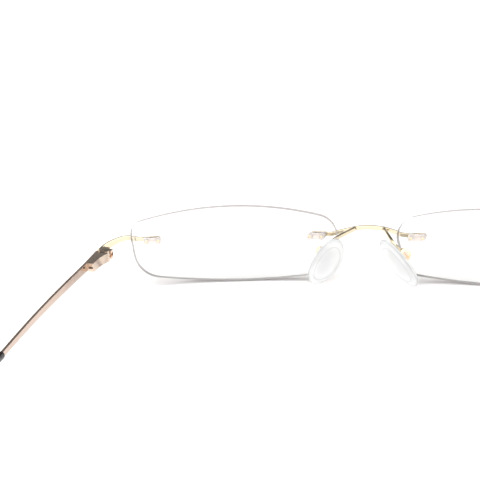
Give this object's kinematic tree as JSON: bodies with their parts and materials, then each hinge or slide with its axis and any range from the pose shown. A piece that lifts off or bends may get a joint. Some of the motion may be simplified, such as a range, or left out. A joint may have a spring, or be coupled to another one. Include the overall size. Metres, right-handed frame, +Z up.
{
  "type": "rimless eyeglasses",
  "caption": "Rimless spectacles with clear lenses, gold bridge and end pieces pinned through the lenses, clear nose pads, and folding spring-hinged temples with black curved tips.",
  "frame": {"origin": "centre of the bounding box on the plane the open glasses stand on", "axes": "+Y the way the wearer looks, +X to the wearer's right, +Z up"},
  "size_m": [0.1454, 0.149, 0.0218],
  "materials": {
    "lens": "polished",
    "gold": "polished plating",
    "rose_gold": "satin plating",
    "sleeve": "clear moulded",
    "pad": "clear silicone",
    "insert": "clear moulded",
    "spring": "bright wire",
    "tip": "polished acetate"
  },
  "bodies": {
    "front": {"bridge": "gold", "left_lens": "lens", "left_nasal_sleeve": "sleeve", "left_temporal_sleeve": "sleeve", "left_endpiece": "gold", "left_hinge_fork": "rose_gold", "left_hinge_screw": "gold", "left_pad_arm": "gold", "left_pad_box": "gold", "left_pad_screw": "gold", "right_lens": "lens", "right_nasal_sleeve": "sleeve", "right_temporal_sleeve": "sleeve", "right_endpiece": "gold", "right_hinge_fork": "rose_gold", "right_hinge_screw": "gold", "right_pad_arm": "gold", "right_pad_box": "gold", "right_pad_screw": "gold"},
    "left_carrier": {"left_hinge_carrier": "rose_gold", "left_spring_stop": "spring"},
    "left_temple": {"left_spring_housing": "rose_gold", "left_temple": "gold", "left_temple_tip": "tip", "left_hinge_spring": "spring"},
    "left_pad": {"left_nose_pad": "pad", "left_pad_insert": "insert"},
    "right_carrier": {"right_hinge_carrier": "rose_gold", "right_spring_stop": "spring"},
    "right_temple": {"right_spring_housing": "rose_gold", "right_temple": "gold", "right_temple_tip": "tip", "right_hinge_spring": "spring"},
    "right_pad": {"right_nose_pad": "pad", "right_pad_insert": "insert"}
  },
  "joints": [
    {"name": "left_temple_fold", "type": "hinge", "parent": "front", "child": "left_carrier", "pos_m": [-0.0661, 0.06012, 0.01028], "axis": [0, 0.1045, 0.9945], "range_deg": [-10, 91]},
    {"name": "left_spring_slide", "type": "slide", "parent": "left_carrier", "child": "left_temple", "axis": [-0.0277, -0.9941, 0.1044], "range_m": [0, 0.0006], "stiffness_N_per_m": 300, "springref_m": -0.003, "deforming": ["left_hinge_spring"]},
    {"name": "left_pad_rock", "type": "hinge", "parent": "front", "child": "left_pad", "pos_m": [-0.01012, 0.0641, 0.00994], "axis": [-0.7251, -0.6264, 0.2862], "range_deg": [-8, 8]},
    {"name": "right_temple_fold", "type": "hinge", "parent": "front", "child": "right_carrier", "pos_m": [0.0661, 0.06012, 0.01028], "axis": [0, -0.1045, -0.9945], "range_deg": [-10, 85]},
    {"name": "right_spring_slide", "type": "slide", "parent": "right_carrier", "child": "right_temple", "axis": [0.0277, -0.9941, 0.1044], "range_m": [0, 0.0006], "stiffness_N_per_m": 300, "springref_m": -0.003, "deforming": ["right_hinge_spring"]},
    {"name": "right_pad_rock", "type": "hinge", "parent": "front", "child": "right_pad", "pos_m": [0.01012, 0.0641, 0.00994], "axis": [0.7251, -0.6264, 0.2862], "range_deg": [-8, 8]}
  ]
}
